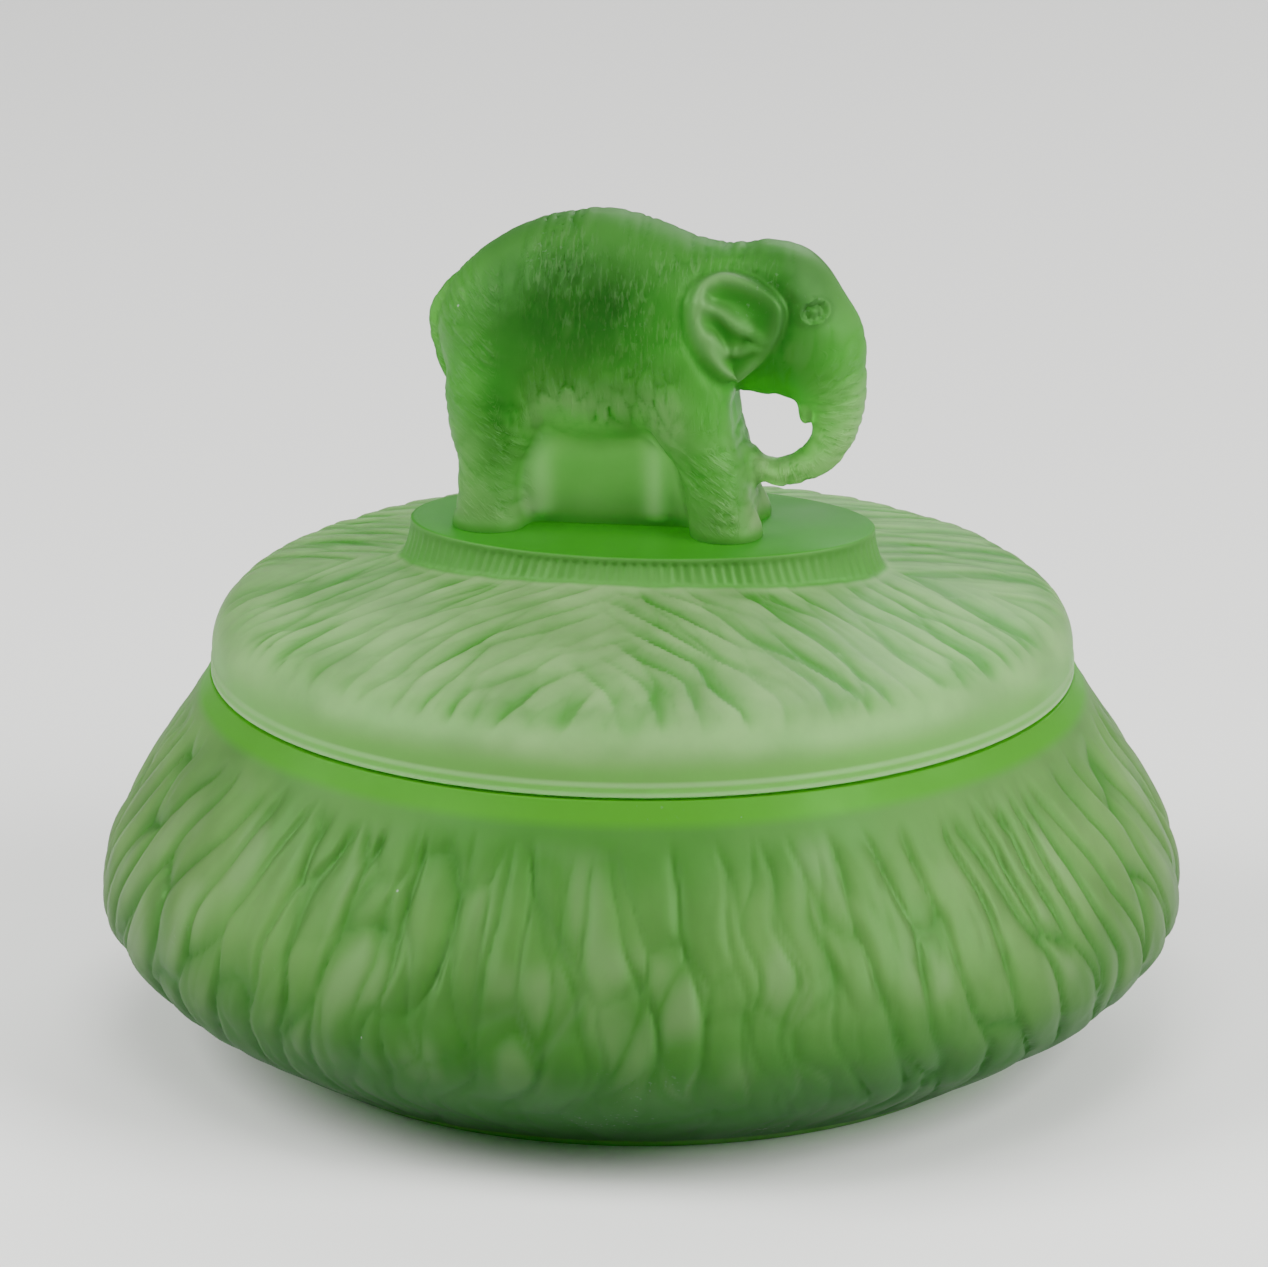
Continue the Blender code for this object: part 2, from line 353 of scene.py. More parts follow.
def bowl_mesh():
    inside = turn(bowl_inside(), BOWL_COLUMNS // COARSE)
    ledge, wall = bowl_outside()
    rings = inside + turn(ledge, BOWL_COLUMNS)
    valleys = [np.zeros(len(ring)) for ring in rings]
    frost_and_crest_highlights = list(valleys)
    normals = section_normals(wall)
    drops = np.concatenate([[0], np.cumsum(np.linalg.norm(np.diff(wall, axis=0), axis=1))])
    angle = np.arange(BOWL_COLUMNS) * 2 * np.pi / BOWL_COLUMNS
    for (radius, height), (out, up), drop in zip(wall, normals, drops):
        depth, frost_and_crest_highlight = bowl_relief(angle, np.full(angle.shape, drop), np.full(angle.shape, height))
        far = radius + depth * out
        rings.append(np.stack([far * np.cos(angle), far * np.sin(angle), height + depth * up], axis=1))
        valleys.append(-depth / RIDGE_DEPTH)
        frost_and_crest_highlights.append(frost_and_crest_highlight)
    foot = [
        (FOOT_RADIUS + 0.6 * MM, 0.12 * MM),
        (FOOT_RADIUS, 0.0),
        (FOOT_RECESS_RADIUS, 0.0),
        (FOOT_RECESS_RADIUS - FOOT_RECESS_DEPTH, FOOT_RECESS_DEPTH),
        (18.0 * MM, FOOT_RECESS_DEPTH),
        (0.0, FOOT_RECESS_DEPTH),
    ]
    rings += turn(foot, BOWL_COLUMNS // COARSE)
    valleys += [np.zeros(len(ring)) for ring in rings[len(valleys):]]
    frost_and_crest_highlights += [np.zeros(len(ring)) for ring in rings[len(frost_and_crest_highlights):]]
    mesh = ring_mesh("bowl_glass", rings)
    paint(mesh, "valley", np.concatenate(valleys))
    # The pale layer: frosting on the veins, and on the crests partly a painted highlight
    paint(mesh, "pale", np.concatenate(frost_and_crest_highlights))
    # Painted shade and light: the front and back are painted clearer and so darker green, and the left
    # and right milkier, as light falls from the sides; the upward-facing wall under the band is painted
    # clearer, painted shade against the light from above.
    places = np.vstack(rings)
    off_axis = np.abs(places[:, 0]) / BOWL_RADIUS
    near_band = smooth_step(36 * MM, 43 * MM, places[:, 2])
    paint(mesh, "clear", 0.12 + 0.55 * bump(off_axis, 0.6) + 0.2 * near_band)
    return mesh


# ---------------------------------------------------------------- lid

def dome_height(radius, top=DOME_TOP):
    return top - radius ** 2 / (2 * DOME_CURVE_RADIUS)


def shoulder(start_radius, top, wall_radius, count):
    """An arc that leaves the dome at start_radius and meets the upright wall tangentially."""
    slope = math.atan(start_radius / DOME_CURVE_RADIUS)
    bend = (wall_radius - start_radius) / (1 - math.sin(slope))
    centre = (wall_radius - bend, dome_height(start_radius, top) - bend * math.cos(slope))
    return arc(centre, bend, 90 - math.degrees(slope), 0, count)


def swept_grooves(sideways, ahead, seed):
    """Shingle-like steps that sweep away from the middle of the front, and turn outward at the rim."""
    around = 128
    r = np.hypot(sideways, ahead)
    heading = np.arctan2(sideways, ahead) - GROOVE_SWEEP
    beyond = GROOVE_TURN_REACH * np.tanh((r - GROOVE_TURN_START) / GROOVE_TURN_REACH)
    held = np.where(r < GROOVE_TURN_START, r, GROOVE_TURN_START + beyond)
    u = held * np.sin(heading) / GROOVE_PITCH + around / 2
    v = r * np.cos(heading) + around
    sway = 0.45 * lattice_noise(u / 4, v / 16, around // 4, seed)
    sway = sway + 0.12 * lattice_noise(u / 2, v / 7, around // 2, seed + 1)
    row = v / GROOVE_LENGTH + 0.3 * lattice_noise(u, v / 30, around, seed + 2)
    border, across = cells(u + sway, row, around, seed + 3)
    fine, _ = cells((u + sway) * 2, v / 9, around * 2, seed + 5)
    strength = 0.8 + 0.4 * lattice_noise(u / 2, v / 11, around // 2, seed + 4)
    step = np.clip(0.5 - across, 0, 1) * rounded(border, 0.28)
    groove = np.exp(-border / 0.15)
    return strength * (0.6 * step + 0.35 * groove + 0.16 * (1 - rounded(fine, 0.8)))


def dome_relief(angle, radius):
    """Depth of the swept, shingle-like grooves on the dome, from 0 on the crests down."""
    r = np.broadcast_to(radius, angle.shape) / MM
    sideways = r * np.cos(angle)
    ahead = r * np.abs(np.sin(angle))
    right = swept_grooves(sideways, ahead, 21)
    left = swept_grooves(-sideways, ahead, 41)
    share = smooth_step(-0.16, 0.16, np.arctan2(sideways, ahead) + 0.08 * np.sin(r / 3))
    depth = right * share + left * (1 - share)
    return -GROOVE_DEPTH * np.clip(depth, 0, 1) * smooth_step(57.5, 52.0, r)


def plinth_radius(angle):
    return 1 / np.hypot(np.cos(angle) / PLINTH_HALF_LENGTH, np.sin(angle) / PLINTH_HALF_WIDTH)


LID_ANGLES = np.arange(LID_COLUMNS) * 2 * np.pi / LID_COLUMNS
EVERY_COARSE = slice(None, None, COARSE)


def lid_ring(radius, height):
    """A ring of the lid at full detail. Its radius and height may vary around it."""
    around = np.stack([np.cos(LID_ANGLES), np.sin(LID_ANGLES)], axis=1)
    return np.column_stack([around * np.broadcast_to(radius, LID_ANGLES.shape)[:, None],
                            np.broadcast_to(height, LID_ANGLES.shape)])


def plinth_top_rings(oval):
    """The flat top, with a fine groove inside its edge and the edge rounded over."""
    rings = [np.array([[0, 0, PLINTH_TOP]])]
    rings += [lid_ring(oval * share, PLINTH_TOP)[EVERY_COARSE] for share in (0.3, 0.6, 0.85)]
    for inset, drop in ((1.1, 0), (0.75, 0.02), (0.45, 0), (0.15, 0.04), (0.03, 0.18), (0, 0.4)):
        rings.append(lid_ring(oval - inset * MM, PLINTH_TOP - drop * MM))
    return rings


def plinth_side_rings(oval, root, along):
    """The side: upright ribs that start under the plain edge and die out in the dome."""
    uneven = 0.6 * lattice_noise(along * 40, np.zeros(along.shape), 40, 32)
    rib = np.cos(2 * np.pi * RIB_COUNT * along + uneven)
    wall_top = PLINTH_TOP - 0.7 * MM
    wall_low = dome_height(root) + 0.3 * MM
    rings = []
    for row in range(PLINTH_WALL_ROWS + 1):
        t = row / PLINTH_WALL_ROWS
        swell = RIB_DEPTH * (rib - 1) / 2 * smooth_step(0, 0.15, t) * (1 - 0.35 * t)
        radius = oval + (root - oval) * t ** 1.5 + swell
        rings.append(lid_ring(radius, wall_top + (wall_low - wall_top) * t))
    fillet = root + 0.25 * MM
    sunk = dome_relief(LID_ANGLES, root) / 3
    rings.append(lid_ring(fillet, dome_height(fillet) + 0.12 * MM + sunk))
    return rings


def dome_rings(root):
    """The dome with its grooves, and how deep in a groove each point is."""
    start = root + 0.9 * MM
    rings, valleys = [], []
    for row in range(DOME_ROWS):
        share = row / DOME_ROWS
        radius = start + (SHOULDER_START - start) * row / DOME_ROWS
        depth = dome_relief(LID_ANGLES, radius) * smooth_step(-0.06, 0.06, share)
        rings.append(lid_ring(radius, dome_height(radius) + depth))
        valleys.append(-depth / GROOVE_DEPTH)
    return rings, valleys


def shoulder_rings():
    """The shoulder, where the grooves die out, and how deep in a groove each point is."""
    bend = even_steps(shoulder(SHOULDER_START, DOME_TOP, RIM_RADIUS - RIM_STEP_DEPTH, 24), 0.75 * MM)
    high, low = bend[0][1], bend[-1][1]
    rings, valleys = [], []
    for (radius, height), (out, up) in zip(bend, section_normals(bend)):
        depth = dome_relief(LID_ANGLES, np.full(LID_ANGLES.shape, radius + (high - height) * 0.35))
        depth = depth * smooth_step(low + 1.0 * MM, high - 1.5 * MM, height)
        rings.append(lid_ring(radius + depth * out, height + depth * up))
        valleys.append(-depth / GROOVE_DEPTH)
    return rings, valleys


def rim_step_rings():
    """The plain rim's fine step, above its lower edge."""
    return [lid_ring(RIM_RADIUS - RIM_STEP_DEPTH * inside, RIM_STEP_HEIGHT + rise * MM)
            for inside, rise in ((1, 0.5), (1, 0.1), (0, -0.1), (0, -0.5))]


def lid_inside_rings():
    """The rim's lower edge, and the lid's plain inside."""
    edge = SEAT_EDGE_ROUND
    rim = arc((RIM_RADIUS - edge, RIM_BOTTOM + edge), edge, 0, -90, 4)
    rings = [lid_ring(radius, height)[EVERY_COARSE] for radius, height in rim]
    inner_rim = arc((RIM_INNER_RADIUS + EDGE_ROUND, RIM_BOTTOM + EDGE_ROUND), EDGE_ROUND, -90, -180, 4)
    inner_top = DOME_TOP - DOME_THICKNESS
    inner_bend = shoulder(INNER_SHOULDER_START, inner_top, RIM_INNER_RADIUS, 6)[::-1]
    inner_radii = np.linspace(INNER_SHOULDER_START, 0, 13)[1:]
    inner_dome = np.stack([inner_radii, dome_height(inner_radii, inner_top)], axis=1)
    return rings + turn(np.vstack([inner_rim, inner_bend, inner_dome]), LID_COLUMNS // COARSE)


def lid_mesh():
    """The lid's shell and plinth as one skin of rings, from the middle of the plinth outwards."""
    oval = plinth_radius(LID_ANGLES)
    edge = lid_ring(oval, 0)[:, :2]
    steps = np.linalg.norm(edge - np.roll(edge, 1, axis=0), axis=1)
    along = np.cumsum(steps) / steps.sum()
    ragged = 0.25 * MM * lattice_noise(along * 60, np.zeros(along.shape), 60, 31)
    root = oval + PLINTH_FLARE + ragged

    rings = plinth_top_rings(oval) + plinth_side_rings(oval, root, along)
    # The plinth's ribbed side is painted paler, painted light over the shade between its ribs
    clear = [np.full(len(ring), PLINTH_TOP_CLEAR if len(ring) < LID_COLUMNS else PLINTH_SIDE_PAINTED_LIGHT)
             for ring in rings]
    valleys = [np.zeros(len(ring)) for ring in rings]
    for more_rings, more_valleys in (dome_rings(root), shoulder_rings()):
        rings += more_rings
        valleys += more_valleys
    step_rings = (len(rings) + 1, len(rings) + 2)
    rings += rim_step_rings() + lid_inside_rings()
    valleys += [np.zeros(len(ring)) for ring in rings[len(valleys):]]
    clear += [np.zeros(len(ring)) for ring in rings[len(clear):]]
    pale = [np.full(len(ring), RIM_STEP_PALE if index in step_rings else 0.0)
            for index, ring in enumerate(rings)]

    mesh = ring_mesh("lid_shell", rings)
    for name, values in (("valley", valleys), ("clear", clear), ("pale", pale)):
        paint(mesh, name, np.concatenate(values))
    return mesh


# ---------------------------------------------------------------- elephant

# Round masses: centre (forward, sideways, up), half-sizes, tilt about the side axis, softness of
# the join with what came before. One that stands off the middle is on both sides.
MASSES = [
    ((-5.6, 0, 26.3), (18.0, 10.3, 15.0), 0, 0.5),
    ((-15.4, 0, 25.0), (11.0, 9.4, 11.0), 0, 3.0),
    ((4.6, 0, 26.2), (9.6, 9.6, 11.4), 0, 3.0),
    ((10.0, 0, 28.2), (8.0, 7.4, 9.2), 0, 2.0),
    ((16.4, 0, 28.0), (9.6, 7.4, 10.0), 0, 2.0),
    ((22.3, 0, 23.8), (6.2, 5.2, 7.6), 0, 2.5),
    ((16.2, 0, 21.9), (5.6, 4.2, 3.8), 0, 1.2),
    ((20.9, 0, 16.0), (1.0, 1.6, 2.3), 0, 1.0),
    ((14.35, 0, 9.5), (0.8, 1.3, 1.4), 0, 0.8),
    ((-18.8, 4.0, 17.5), (6.0, 5.0, 10.5), 0, 2.0),
    ((5.6, 4.8, 18.5), (5.2, 4.6, 9.5), -12, 2.5),
    ((11.5, 4.9, 0.7), (4.1, 4.2, 2.0), 0, 1.6),
    ((10.9, 0, 1.6), (3.2, 4.8, 4.0), 0, 1.5),
    ((-19.3, 3.6, 0.4), (4.5, 4.1, 1.8), 0, 1.4),
    ((9.9, 0, 8.5), (4.3, 5.2, 12.0), -13, 1.2),
    ((-19.2, 0, 9.0), (4.2, 4.2, 13.0), 0, 1.2),
]

# Round limbs: points with (forward, sideways, up, radius), and the softness of the join.
LIMBS = [
    ([(23.6, 0, 25.0, 4.6), (25.1, 0, 20.4, 3.9), (25.4, 0, 16.2, 3.3), (24.8, 0, 12.9, 2.9),
      (22.9, 0, 9.8, 2.45), (20.0, 0, 7.75, 2.1), (17.0, 0, 7.3, 1.85), (13.2, 0, 8.4, 1.8)], 1.5),
    ([(5.8, 5.2, 24.0, 5.0), (7.6, 5.0, 15.0, 4.4), (9.5, 4.9, 8.5, 4.2), (11.4, 4.9, 0.0, 4.3)], 1.8),
    ([(-18.6, 4.2, 18.0, 5.4), (-19.2, 4.0, 12.0, 4.3), (-19.5, 3.8, 7.0, 3.9),
      (-19.4, 3.7, 0.0, 4.1)], 1.8),
    ([(-24.0, 0, 31.0, 1.0), (-26.0, 0, 28.4, 1.1), (-26.6, 0, 25.0, 1.0), (-26.0, 0, 21.4, 0.85),
      (-24.9, 0, 18.6, 0.6)], 0.7),
]

# The glass between the legs is solid, as a pressed figure has no gaps across the mould.
WEB_CENTRE = (-4.2, 0.0, 8.0)
WEB_HALF = (16.0, 2.2, 8.5)
WEB_SOFTNESS = 2.6

EAR_OUTLINE = [(6.8, 31.6), (7.9, 33.8), (10.6, 34.8), (14.0, 34.4), (17.0, 33.0), (18.8, 30.9),
               (18.6, 28.2), (17.6, 25.8), (16.2, 23.8), (14.2, 21.9), (12.0, 20.8), (10.2, 22.2),
               (8.3, 25.4), (7.0, 28.7)]
EAR_FOLDS = [
    [(8.6, 31.2), (11.0, 29.9), (13.6, 28.2), (15.8, 27.0)],
    [(9.4, 27.2), (11.0, 25.4), (13.2, 25.2), (15.2, 26.0)],
]
EYE = (22.6, 30.1)

# The middle of the trunk's curl (forward, up), and how far out its wrinkles are measured
TRUNK_CURL = (18.0, 15.0)
TRUNK_CURL_RADIUS = 8.5

# Wrinkles on the legs run down by this much for each step forward, and how long that step is
LEG_SLANT = 0.8
LEG_SLANT_LENGTH = 1.28

FIGURE_VOXEL = 0.45 * MM
CREASE_ANGLE = math.radians(48)


def ellipsoid_distance(p, centre, half_sizes, tilt_deg):
    tilt = math.radians(tilt_deg)
    q = p - np.array(centre)
    local = np.stack([
        q[:, 0] * math.cos(tilt) - q[:, 2] * math.sin(tilt),
        q[:, 1],
        q[:, 0] * math.sin(tilt) + q[:, 2] * math.cos(tilt),
    ], axis=1)
    half = np.array(half_sizes)
    scaled = np.linalg.norm(local / half, axis=1)
    return scaled * (scaled - 1) / np.maximum(np.linalg.norm(local / half ** 2, axis=1), 1e-6)


def limb_distance(p, route):
    nearest = np.full(len(p), 1e9)
    for start, end in zip(route, route[1:]):
        span = end[:3] - start[:3]
        t = np.clip((p - start[:3]) @ span / (span @ span), 0, 1)
        away = np.linalg.norm(p - start[:3] - t[:, None] * span, axis=1)
        nearest = np.minimum(nearest, away - start[3] - t * (end[3] - start[3]))
    return nearest


def box_distance(p, centre, half, rounding):
    q = np.abs(p - np.array(centre)) - (np.array(half) - rounding)
    return np.linalg.norm(np.maximum(q, 0), axis=1) + np.minimum(q.max(axis=1), 0) - rounding


def soft_union(first, second, softness):
    h = np.clip(0.5 + 0.5 * (second - first) / softness, 0, 1)
    return second * (1 - h) + first * h - softness * h * (1 - h)


LIMB_ROUTES = [(smooth_curve(points, 3), softness) for points, softness in LIMBS]


def figure_distance(p):
    """Signed distance to the elephant's smooth skin, without its fine detail."""
    folded = p.copy()
    folded[:, 1] = np.abs(folded[:, 1])
    total = None
    for centre, half_sizes, tilt, softness in MASSES:
        part = ellipsoid_distance(folded, centre, half_sizes, tilt)
        total = part if total is None else soft_union(total, part, softness)
    for route, softness in LIMB_ROUTES:
        total = soft_union(total, limb_distance(folded, route), softness)
    web = box_distance(folded, WEB_CENTRE, WEB_HALF, 0.5)
    return soft_union(total, web, WEB_SOFTNESS)


def figure_gradient(p):
    small = 0.02
    slopes = []
    for axis in range(3):
        shift = np.zeros(3)
        shift[axis] = small
        slopes.append(figure_distance(p + shift) - figure_distance(p - shift))
    return np.stack(slopes, axis=1) / (2 * small)


def line_distance(x, z, points):
    """Distance in the side plane to a line of points."""
    nearest = np.full(x.shape, 1e9)
    for (ax, az), (bx, bz) in zip(points, points[1:]):
        run, rise = bx - ax, bz - az
        t = np.clip(((x - ax) * run + (z - az) * rise) / (run ** 2 + rise ** 2), 0, 1)
        nearest = np.minimum(nearest, np.hypot(x - ax - t * run, z - az - t * rise))
    return nearest


def inside_outline(x, z, points):
    points = np.asarray(points, float)
    inside = np.zeros(x.shape, bool)
    for (ax, az), (bx, bz) in zip(points, np.roll(points, -1, axis=0)):
        crosses = (az > z) != (bz > z)
        inside ^= crosses & (x < (bx - ax) * (z - az) / (bz - az + 1e-12) + ax)
    return inside


def hatch(across, along, pitch, length, seed):
    """Short wrinkles, about one pitch apart and one length long, from 0 down to -1 in each fold."""
    around = 64
    sway = 0.7 * lattice_noise(across / 4 + around, along / 5 + around, around, seed)
    border, side = cells(across / pitch + sway + around, along / length + around, around, seed + 1)
    return 0.35 * (side - 0.4) - 0.65 * np.exp(-border / 0.25)


def web_columns(x, y, z):
    """Share of each point in the two upright swellings where the web meets the legs."""
    upright = bump(x - 2.4, 1.7) + 0.8 * bump(x + 13.4, 1.8)
    upright = upright * smooth_step(4.4, 3.0, np.abs(y))
    return upright * smooth_step(15.5, 12.5, z) * smooth_step(0.3, 2.0, z)


def ear_detail(x, z):
    """A raised flap with a rolled edge, a hollow behind it and two folds: its height, how far inside
    its outline each point is, and the shares of pale edge and of hollow."""
    outline = smooth_curve(EAR_OUTLINE + EAR_OUTLINE[:1], 4)
    gap = line_distance(x, z, outline)
    inward = np.where(inside_outline(x, z, outline), gap, -gap)
    inside = smooth_step(0, 1, inward)
    outer_crease = bump(inward + 0.7, 0.6)
    cheek_side = smooth_step(11.0, 17.5, x) * smooth_step(22.0, 25.0, z)
    flap = 1.2 * smooth_step(-0.35, 0.6, inward) * (1 - 0.5 * cheek_side)
    rolled = 0.4 * bump(inward - 0.9, 0.65) * (1 - 0.7 * cheek_side)
    hollow = -0.9 * bump(inward - 3.0, 1.4) * inside * (1 - 0.6 * cheek_side)
    folds = np.maximum.reduce([bump(line_distance(x, z, fold), 0.85) for fold in EAR_FOLDS])
    height = flap + rolled + hollow + 0.9 * folds * inside - 0.4 * outer_crease
    edges = np.clip(bump(inward - 0.8, 0.7) + 0.8 * folds * inside, 0, 1) * (1 - 0.8 * cheek_side)
    return height, inward, edges, np.clip(-hollow + 0.6 * outer_crease, 0, 1)


def eye_detail(x, z):
    """Height of a small ball with a lid ring and a brow, and the share of each point near it."""
    gap = np.hypot(x - EYE[0], (z - EYE[1]) * 1.25)
    height = 0.4 * bump(gap, 0.7) - 0.3 * bump(gap - 1.15, 0.35) + 0.35 * bump(gap - 1.8, 0.45)
    return height, smooth_step(3.2, 2.4, gap)


def figure_detail(p, normal):
    """Height of the ears, eyes and wrinkles on the skin, in millimetres, and what to paint: painted shade
    in the folds and the ear's hollow, pale edges that are partly painted highlight, painted light on the
    swellings by the legs, the share of finely wrinkled skin, and the way its wrinkles lie."""
    x, y, z = p.T
    facing_side = smooth_step(0.3, 0.65, np.abs(normal[:, 1]))
    ear, inward, ear_edges, ear_hollow = ear_detail(x, z)
    eye, near_eye = eye_detail(x, z)

    # Where each kind of wrinkle lies: upright on the barrel, slanted on the legs, ringed on the trunk
    on_trunk = smooth_step(20.5, 23.5, x) * smooth_step(30, 24, z)
    on_trunk = np.clip(on_trunk + smooth_step(10.5, 9.0, z) * smooth_step(13, 15, x), 0, 1)
    on_legs = np.clip(smooth_step(-14, -18, x) + smooth_step(15, 12, z), 0, 1) * (1 - on_trunk)
    on_barrel = (1 - on_legs) * (1 - on_trunk) * smooth_step(21, 17, x)
    from_web = np.abs(x - WEB_CENTRE[0])
    on_web = smooth_step(3.4, 2.6, np.abs(y)) * smooth_step(15, 13, z) * smooth_step(12, 8, from_web)
    off_ear = smooth_step(0.3, -1.2, inward) * smooth_step(0.6, 2.0, z) * (1 - on_web)

    # Directions across and along the wrinkles of the legs and the trunk
    leg_across = (z + LEG_SLANT * x) / LEG_SLANT_LENGTH
    leg_along = (x - LEG_SLANT * z) / LEG_SLANT_LENGTH
    trunk_across = np.arctan2(z - TRUNK_CURL[1], x - TRUNK_CURL[0]) * TRUNK_CURL_RADIUS
    trunk_along = np.hypot(z - TRUNK_CURL[1], x - TRUNK_CURL[0])

    upright = hatch(x, z, 1.5, 5.0, 51)
    slanted = hatch(leg_across, leg_along, 1.4, 4.0, 61)
    ringed = hatch(trunk_across, trunk_along, 1.4, 5.0, 71)
    wrinkles = upright * on_barrel + 0.75 * slanted * on_legs + 0.8 * ringed * on_trunk
    patchy = np.clip(0.65 + 0.6 * lattice_noise(x / 4 + 50, z / 4 + 50, 64, 43), 0.1, 1.2)
    lumps = 0.14 * lattice_noise(x / 3 + 30, z / 3 + 30, 64, 44)
    wrinkled = (0.42 * wrinkles * patchy + lumps) * off_ear
    columns = web_columns(x, y, z)
    height = ear * facing_side + eye * facing_side * near_eye + wrinkled + 0.9 * columns

    # Painted shade in the wrinkles' folds; pale crests and ear edges, partly painted highlight
    folded = np.clip(-wrinkles * patchy * off_ear, 0, 1)
    crests = np.clip(wrinkles + 0.25, 0, 0.3) * patchy * off_ear
    edges = ear_edges * facing_side + crests
    one_way = smooth_step(0.8, 0.98, np.maximum.reduce([on_barrel, on_legs, on_trunk]))
    flank = smooth_step(0.3, 0.7, np.abs(normal[:, 1]))
    # Painted shade in the folds and the ear's hollow; pale edges partly painted highlight, and painted
    # light on the swellings where the web meets the legs
    return height, {
        "valley": 0.75 * np.maximum(folded, 0.6 * (ear_hollow * facing_side)),
        "pale": 0.35 * np.clip(edges, 0, 1) + 0.75 * columns,
        "skin": off_ear * one_way * np.clip(patchy, 0.2, 1) * flank,
        "across": x * on_barrel + leg_across * on_legs + trunk_across * on_trunk,
        "along": z * on_barrel + leg_along * on_legs + trunk_along * on_trunk,
    }


def figure_tones(p):
    """How clear and how dark the glass looks. Thicker glass is dark, partly its body colour and partly
    painted shade, and the upper back and head are painted darker still, painted shade against the light
    from above. The web and trunk are pale, and the belly and the swellings where the web meets the legs
    are painted paler, painted light where they lie in shade.
    """
    x, y, z = p.T
    off_middle = np.abs(y)
    from_web = np.abs(x - WEB_CENTRE[0])
    web = smooth_step(3.6, 2.4, off_middle) * smooth_step(16, 13, z) * smooth_step(13, 9, from_web)
    trunk = smooth_step(19.5, 24.0, x) * smooth_step(24, 16, z)
    trunk = np.clip(trunk + smooth_step(10.5, 9.0, z) * smooth_step(13, 16, x), 0, 1)
    # The belly is painted paler, painted light where it lies in shade, and so are the swellings where the
    # web meets the legs; the lower legs are painted paler too
    belly = bump(z - 16.0, 4.5) * smooth_step(-16, -11, x) * smooth_step(9, 3, x)
    over_legs = smooth_step(-13.5, -16, x) + 0.6 * smooth_step(2.5, 5, x)
    legs = smooth_step(18, 11, z) * np.clip(over_legs, 0, 1)
    near_plinth = smooth_step(2.5, 0.3, z)
    pale = 0.45 * web + 0.6 * web_columns(x, y, z) + 0.7 * trunk + 1.2 * belly + 0.4 * legs
    pale = np.clip(pale, 0, 1) * (1 - near_plinth)

    # The core of the barrel, haunch and head is painted darker, partly thicker glass and partly painted
    # shade, and the upper back darker still, painted shade against the light from above
    barrel = bump(np.hypot((x + 8.0) / 14.0, (z - 28.5) / 9.2), 1.0)
    head = bump(np.hypot((x - 19.0) / 6.5, (z - 29.5) / 8.5), 1.0)
    head = smooth_step(0.5, 4.0, off_middle) * head
    haunch = bump(np.hypot((x + 17.5) / 2.5, (z - 15.0) / 10.0), 1.0)
    crown = smooth_step(25, 37, z) * smooth_step(-24, -18, x)
    thick_and_shaded = smooth_step(3.0, 7.5, off_middle)
    core = thick_and_shaded * (barrel + 0.6 * haunch) + 0.9 * head + 0.4 * crown + 0.1 * web
    core = np.clip(core, 0, 1) * (1 - 0.7 * belly)
    return np.clip(0.82 - 0.75 * pale, 0, 1), core


def figure_blank():
    """A rough closed skin over the masses and limbs, to be drawn onto the smooth surface."""
    model = bmesh.new()
    for centre, half_sizes, tilt, _ in MASSES:
        for side in ((1, -1) if centre[1] else (1,)):
            place = Matrix.Translation((centre[0] * MM, centre[1] * side * MM, centre[2] * MM))
            turn_about = Matrix.Rotation(math.radians(tilt), 4, "Y")
            size = Matrix.Diagonal((*(half * MM for half in half_sizes), 1))
            bmesh.ops.create_uvsphere(model, u_segments=32, v_segments=20, radius=1,
                                      matrix=place @ turn_about @ size)
    for route, _ in LIMB_ROUTES:
        for side in ((1, -1) if route[0][1] else (1,)):
            for x, y, z, radius in even_steps(route, 0.7):
                place = Matrix.Translation((x * MM, y * side * MM, z * MM))
                bmesh.ops.create_icosphere(model, subdivisions=2, radius=radius * MM, matrix=place)
    size = Matrix.Diagonal((*(2 * half * MM for half in WEB_HALF), 1))
    bmesh.ops.create_cube(model, size=1, matrix=Matrix.Translation(Vector(WEB_CENTRE) * MM) @ size)
    mesh = bpy.data.meshes.new("figure_blank")
    model.to_mesh(mesh)
    model.free()
    return mesh


def evaluated_mesh(piece):
    """The object's mesh with its modifiers applied; the object is removed."""
    evaluated = piece.evaluated_get(bpy.context.evaluated_depsgraph_get())
    mesh = bpy.data.meshes.new_from_object(evaluated)
    bpy.data.objects.remove(piece, do_unlink=True)
    return mesh


def add_object(name, mesh):
    piece = bpy.data.objects.new(name, mesh)
    bpy.context.scene.collection.objects.link(piece)
    return piece


def figure_mesh():
    blank = add_object("figure_blank", figure_blank())
    skin = blank.modifiers.new("skin", "REMESH")
    skin.mode = "VOXEL"
    skin.voxel_size = FIGURE_VOXEL
    soften = blank.modifiers.new("soften", "SMOOTH")
    soften.iterations = 6
    mesh = evaluated_mesh(blank)
    points = np.empty(len(mesh.vertices) * 3, np.float32)
    mesh.vertices.foreach_get("co", points)
    points = points.reshape(-1, 3).astype(float) / MM

    # Draw the points onto the smooth skin in a few steps, then raise the detail on it
    for _ in range(3):
        gradient = figure_gradient(points)
        length = np.maximum((gradient ** 2).sum(axis=1), 0.2)
        step = figure_distance(points) / length
        points -= np.clip(step, -0.8, 0.8)[:, None] * gradient
    normal = figure_gradient(points)
    normal /= np.maximum(np.linalg.norm(normal, axis=1, keepdims=True), 1e-6)
    height, layers = figure_detail(points, normal)
    points += normal * height[:, None]
    points[:, 2] = np.minimum(points[:, 2], (FIGURE_TOP - PLINTH_TOP) / MM)
    clear, core = figure_tones(points)
    points = points * MM + np.array([0, 0, PLINTH_TOP])
    mesh.vertices.foreach_set("co", points.astype(np.float32).ravel())
    mesh.update()
    mesh.shade_smooth()
    for name, values in {"clear": clear, "core": core, **layers}.items():
        paint(mesh, name, values)
    return mesh


